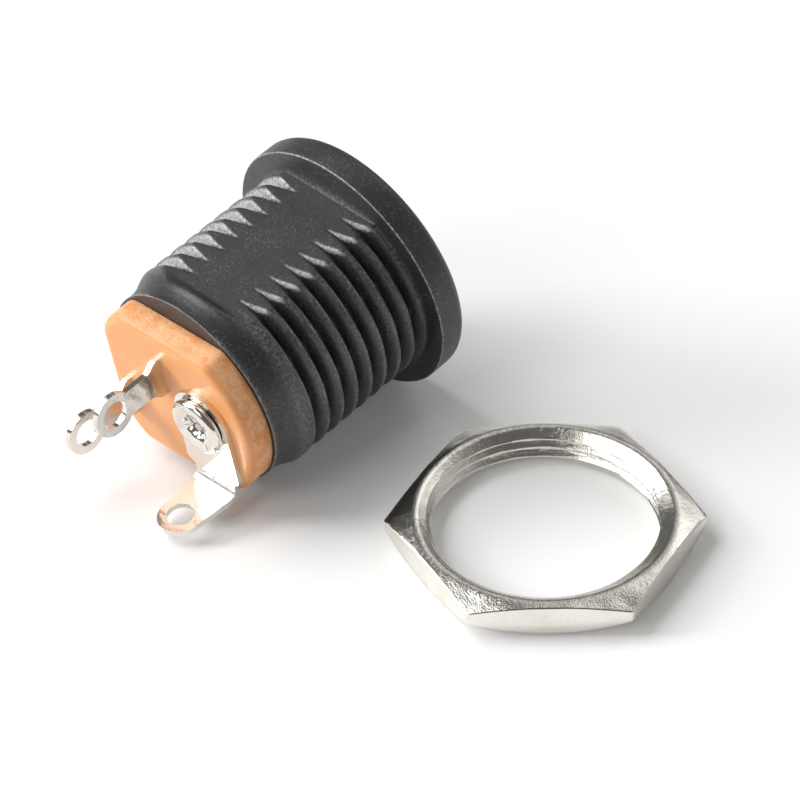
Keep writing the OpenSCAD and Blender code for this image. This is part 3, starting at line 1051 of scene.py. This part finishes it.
@dataclass
class Rivet:
    """The semi-tubular rivet: factory head inside, rolled and split head on the strap."""

    x: float = 2.38
    y: float = 0.35
    inner_z: float = 10.0
    seat_z: float = 12.4
    shank_r: float = 0.8
    head_r: float = 0.95
    bore_r: float = 0.5
    roll_r: float = 1.6
    roll_h: float = 0.56
    rim_w: float = 0.5
    splits: int = 4
    split_w: float = 0.2
    split_depth: float = 0.3
    split_turn: float = 0.5
    head_t: float = 0.3
    split_floor: float = 0.12
    split_fade: float = 0.35

    def surface(self) -> Surface:
        """A section carried round the axis, with the roll pulled down at each split.

        The pull is a sum of narrow bells exp(-(d / w)^2) round the split angles, and
        leaves the smooth outer rim alone.
        """
        theta = np.linspace(0, TAU, 289)[:-1]
        inner_z, seat_z, bore_r = self.inner_z, self.seat_z, self.bore_r
        roll = arc((self.roll_r - 0.26, seat_z + self.roll_h / 2), self.roll_h / 2, -75, 92, 12)
        section = np.vstack([
            # the factory head and the shank
            [[NEAR_ZERO, inner_z], [self.head_r - 0.1, inner_z], [self.head_r, inner_z + 0.1],
             [self.head_r, inner_z + self.head_t], [self.shank_r, inner_z + self.head_t],
             [self.shank_r, seat_z]],
            roll,
            # from the roll down into the bore
            [[bore_r + 0.34, seat_z + self.roll_h * 0.90],
             [bore_r + 0.16, seat_z + self.roll_h * 0.62],
             [bore_r + 0.04, seat_z + 0.05], [bore_r, seat_z - 0.4],
             [bore_r - 0.1, seat_z - 0.85], [NEAR_ZERO, seat_z - 0.9]],
        ])
        k = np.arange(self.splits)[:, None]
        off = (theta[None] - k * TAU / self.splits - self.split_turn + math.pi) % TAU - math.pi
        pull = bell(off, self.split_w).sum(axis=0)
        radius = np.repeat(section[:, :1], len(theta), axis=1)
        height = np.repeat(section[:, 1:], len(theta), axis=1)
        floor = self.split_floor
        upper = np.clip((height - seat_z - floor) / (self.roll_h - floor), 0, 1)
        inner = np.clip((self.roll_r - self.rim_w - radius) / self.split_fade, 0, 1)
        height = height - pull * upper * inner * self.split_depth
        made = turned(theta, radius, height, closed=False)
        made.points += np.array([self.x, self.y, 0.0])
        return made


@dataclass
class PanelNut:
    """The hexagon nut: uneven corner bevels, a flat ring and a threaded hole."""

    layout: Layout
    thick: float = 1.9
    ring_r: float = 6.7
    top_slope: float = 17.0
    bevel_aside: tuple[float, float] = (-0.25, 0.25)
    low_slope: float = 34.0
    bore_r: float = 5.75
    thread_root_r: float = 6.02
    mouth_r: float = 6.42
    mouth_t: float = 0.35
    pitch: float = 0.6
    edge: float = 0.06
    worn_r: float = 8.05
    worn_blend: float = 0.02
    least_bevel: float = 0.02
    crest_share: float = 0.08
    flank_share: float = 0.34
    bore_rows: int = 46

    def hexagon(self, theta: np.ndarray) -> np.ndarray:
        """Works out the hexagon with slightly worn corners: (AF / 2) / cos(a), a from the flat.

        Args:
            theta: The angles.

        Returns:
            The radius at each.
        """
        turn = math.radians(self.layout.nut_turn)
        a = (theta - turn) % (math.pi / 3) - math.pi / 6
        flat = self.layout.nut_af / 2 / np.cos(a)
        return soft_least(flat, np.full_like(a, self.worn_r), self.worn_blend)

    def surface(self) -> Surface:
        """Rows from the lower ring up the outside, across the top and down the hole."""
        turn = math.radians(self.layout.nut_turn)
        sixth = np.radians(60) * 0.5 * (1 - np.cos(np.linspace(0, math.pi, 80)[:-1]))
        theta = (turn + (np.arange(6)[:, None] * math.pi / 3 + sixth[None])).ravel()
        hexagon = self.hexagon(theta)
        aside = self.bevel_aside[0] * np.cos(theta) + self.bevel_aside[1] * np.sin(theta)
        rise = hexagon - self.ring_r
        low = rise * math.tan(math.radians(self.low_slope))
        above = np.maximum(rise - aside, self.least_bevel)
        high = self.thick - above * math.tan(math.radians(self.top_slope))
        flat = np.ones_like(theta)
        q = self.edge
        rows: list[tuple[np.ndarray, np.ndarray]] = [
            ((self.mouth_r + 0.03) * flat, 0 * flat),
            ((self.ring_r - 0.04) * flat, 0 * flat),
        ]
        for share in np.linspace(0.05, 1, 5)[:-1]:
            rows.append((self.ring_r + rise * share, low * share))
        rows += [(hexagon - q * 0.6, low - q * 0.2), (hexagon, low + q * 0.8)]
        rows += [(hexagon, low + (high - low) * s) for s in (0.35, 0.65)]
        rows += [(hexagon, high - q * 0.8), (hexagon - q * 0.8, high + q * 0.1)]
        for share in np.linspace(1, 0.05, 6)[1:]:
            rows.append((self.ring_r + rise * share, self.thick - (self.thick - high) * share))
        rows += [((self.ring_r - 0.05) * flat, self.thick * flat),
                 ((self.mouth_r + 0.05) * flat, self.thick * flat)]
        for z in np.linspace(self.thick - 0.03, 0.03, self.bore_rows):
            phase = z / self.pitch - theta / TAU
            away = np.abs(phase - np.round(phase))
            depth = ramp(away, self.crest_share, self.flank_share)
            thread = self.bore_r + (self.thread_root_r - self.bore_r) * depth
            into = min(self.thick - z, z)
            bevel = self.mouth_r - (self.mouth_r - self.bore_r) * min(into / self.mouth_t, 1)
            rows.append((np.maximum(thread, bevel), z * flat))
        radius = np.array([r for r, _ in rows])
        height = np.array([z for _, z in rows])
        return turned(theta, radius, height)


@dataclass
class Jack:
    """The whole product: the jack and, beside it, its nut."""

    layout: Layout = field(default_factory=Layout)

    def finished(self, made: bpy.types.Object, look: bpy.types.Material, node: str) -> bpy.types.Object:
        """Dresses a new piece and lets it stand for its CAD node.

        Args:
            made: The new piece.
            look: Its material.
            node: The CAD node that it stands for.

        Returns:
            The piece.
        """
        made.data.materials.append(look)
        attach(made, "root")
        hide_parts(node)
        LOG.info("%s: %d faces", made.name, len(made.data.polygons))
        return made

    def build(self) -> None:
        """Builds every piece in order."""
        jack, nut = self.layout.jack(), self.layout.nut()
        moulding, laminate = BlackMoulding().material(), Laminate().material()
        tin, contact = Metal.TIN.value.material(), Metal.CONTACT.value.material()
        plated = Metal.NUT.value.material()
        barrel = Barrel(self.layout).surface().to_object("moulded_barrel", jack, 42)
        self.finished(barrel, moulding, "threaded_barrel")
        plate = BasePlate(self.layout).surface().to_object("laminate_plate", jack, 50)
        self.finished(plate, laminate, "base_plate")
        centre = CentreLug(self.layout)
        lug = (centre.surface() + centre.foot()).to_object("centre_blade", jack)
        self.finished(eased(lug, 0.05), tin, "centre_lug")
        switch = SwitchContact(self.layout)
        lug = (switch.surface() + switch.bar()).to_object("switch_blade", jack)
        self.finished(eased(lug, 0.05), tin, "switch_contact")
        lug = SleeveLug(self.layout).surface().to_object("sleeve_strap", jack)
        self.finished(eased(lug, 0.05), tin, "sleeve_lug")
        rivet = Rivet().surface().to_object("rolled_rivet", jack, 60)
        self.finished(rivet, tin, "rivet")
        hexagon = PanelNut(self.layout).surface().to_object("hexagon_nut", nut, 32)
        self.finished(hexagon, plated, "panel_nut")
        for name in ("centre_pin", "sleeve_spring"):
            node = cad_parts[name]
            node.data.materials.clear()
            node.data.materials.append(contact)


# ---- table, light and camera --------------------------------------------------


@dataclass
class Studio:
    """A white table under soft light, and the camera.

    A patch of the room is its azimuth, elevation and width in degrees and its strength.
    A lamp is its name, azimuth, elevation, distance and side in metres, and its share
    of the light that falls on the table.
    """

    layout: Layout
    elevation: float = 40.17
    azimuth: float = 225.15
    roll: float = -1.69
    distance: float = 175.48
    table_glow: float = 0.08
    ambient: float = 0.13
    patches: tuple[tuple[float, float, float, float], ...] = (
        (40.0, 38.0, 14.0, 0.45),
        (10.0, 42.0, 24.0, 1.3),
        (320.0, 20.0, 40.0, 0.4),
    )
    lamps: tuple[tuple[str, float, float, float, float, float], ...] = (
        ("key", 115.0, 52.0, 1.5, 1.0, 0.55),
        ("low", 130.0, 24.0, 1.5, 0.5, 0.24),
        ("rear", 175.0, 40.0, 1.5, 0.6, 0.13),
    )
    aside: float = 7.285
    below: float = 6.996
    lens: float = 157.5
    table_half: float = 0.6

    @staticmethod
    def direction(azimuth: float, elevation: float) -> np.ndarray:
        """The unit vector towards a camera azimuth and an elevation in degrees."""
        a, e = math.radians(azimuth), math.radians(elevation)
        return np.array([math.sin(a) * math.cos(e), -math.cos(a) * math.cos(e), math.sin(e)])

    def camera(self) -> None:
        """Places the camera from its angles and the nut's centre on the table."""
        e, az, roll = (math.radians(v) for v in (self.elevation, self.azimuth, self.roll))
        right0 = np.array([math.cos(az), math.sin(az), 0.0])
        ahead = np.array([-math.sin(az), math.cos(az), 0.0])
        up = np.array([0, 0, 1.0])
        forward = ahead * math.cos(e) - up * math.sin(e)
        up0 = ahead * math.sin(e) + up * math.cos(e)
        right = right0 * math.cos(roll) + up0 * math.sin(roll)
        head = up0 * math.cos(roll) - right0 * math.sin(roll)
        centre = self.layout.nut().shift
        place = centre - self.aside * right + self.below * head - self.distance * forward
        data = bpy.data.cameras.new("camera")
        data.lens, data.sensor_width = self.lens, 36.0
        data.clip_start, data.clip_end = 0.01, 10.0
        made = linked("camera", data)
        turn = np.stack([right, head, -forward], axis=1)
        made.matrix_world = Matrix.Translation(place * MM) @ Matrix(turn.tolist()).to_4x4()
        bpy.context.scene.camera = made

    def table(self) -> None:
        """A wide white table, lifted to white for the camera and for reflections."""
        mesh = bpy.data.meshes.new("table")
        w = self.table_half
        mesh.from_pydata([(-w, -w, 0), (w, -w, 0), (w, w, 0), (-w, w, 0)], [], [(0, 1, 2, 3)])
        made = linked("table", mesh)
        s = Shader("table white")
        s.dress(base_color=(0.90, 0.90, 0.895), roughness=0.7, specular_ior_level=0.1)
        seen = s.add("ShaderNodeLightPath", {}, {}, "Is Camera Ray")
        glossy = s.add("ShaderNodeLightPath", {}, {}, "Is Glossy Ray")
        s.feed(s.surface.inputs["Emission Color"], (1.0, 1.0, 1.0))
        s.feed(s.surface.inputs["Emission Strength"], seen.most(glossy) * self.table_glow)
        mesh.materials.append(s.material)

    def lamp(self, name: str, azimuth: float, elevation: float, away: float, size: float,
             power: float) -> None:
        """A square soft lamp that faces the middle of the table.

        Args:
            name: The lamp's name.
            azimuth: Where it stands, as a camera azimuth in degrees.
            elevation: Its height above the table in degrees.
            away: Its distance in metres.
            size: Its side in metres.
            power: Its power in watts.
        """
        place = away * self.direction(azimuth, elevation)
        data = bpy.data.lights.new(name, "AREA")
        data.shape, data.size, data.energy = "SQUARE", size, power
        facing = Vector(place).to_track_quat("Z", "Y").to_matrix().to_4x4()
        linked(name, data).matrix_world = Matrix.Translation(place) @ facing

    def world(self) -> None:
        """A dim grey room that is paler in a few directions, as soft boxes make it.

        Each patch adds its strength, fading out with the angle from its middle.
        """
        world = bpy.data.worlds.new("world")
        bpy.context.scene.world = world
        world.use_nodes = True
        n = Nodes(world.node_tree)
        toward = n.add("ShaderNodeTexCoord", {}, {}, "Generated")
        level = None
        for azimuth, elevation, width, strength in self.patches:
            middle = tuple(self.direction(azimuth, elevation))
            nearness = n.add("ShaderNodeVectorMath", {"operation": "DOT_PRODUCT"},
                             {0: toward, 1: middle}, "Value")
            patch = nearness.over(math.cos(math.radians(width)), 1.0) * strength
            level = patch + self.ambient if level is None else patch + level
        back = world.node_tree.nodes["Background"]
        n.feed(back.inputs["Color"], (1.0, 0.985, 0.96))
        n.feed(back.inputs["Strength"], level)

    def light(self) -> None:
        """The room, a key lamp, a low one beside it and a weak one further round."""
        self.world()
        for name, azimuth, elevation, away, size, share in self.lamps:
            power = share * math.pi**2 * away**2 / math.sin(math.radians(elevation))
            self.lamp(name, azimuth, elevation, away, size, power)
        bpy.context.scene.view_settings.view_transform = "Standard"

    def build(self) -> None:
        """Builds the table, the light and the camera."""
        self.camera()
        self.table()
        self.light()


def main() -> None:
    """Builds the jack, its nut and the studio."""
    logging.basicConfig(level=logging.INFO, format="%(name)s: %(message)s")
    layout = Layout()
    Jack(layout).build()
    Studio(layout).build()


if __name__ == "__main__":
    main()
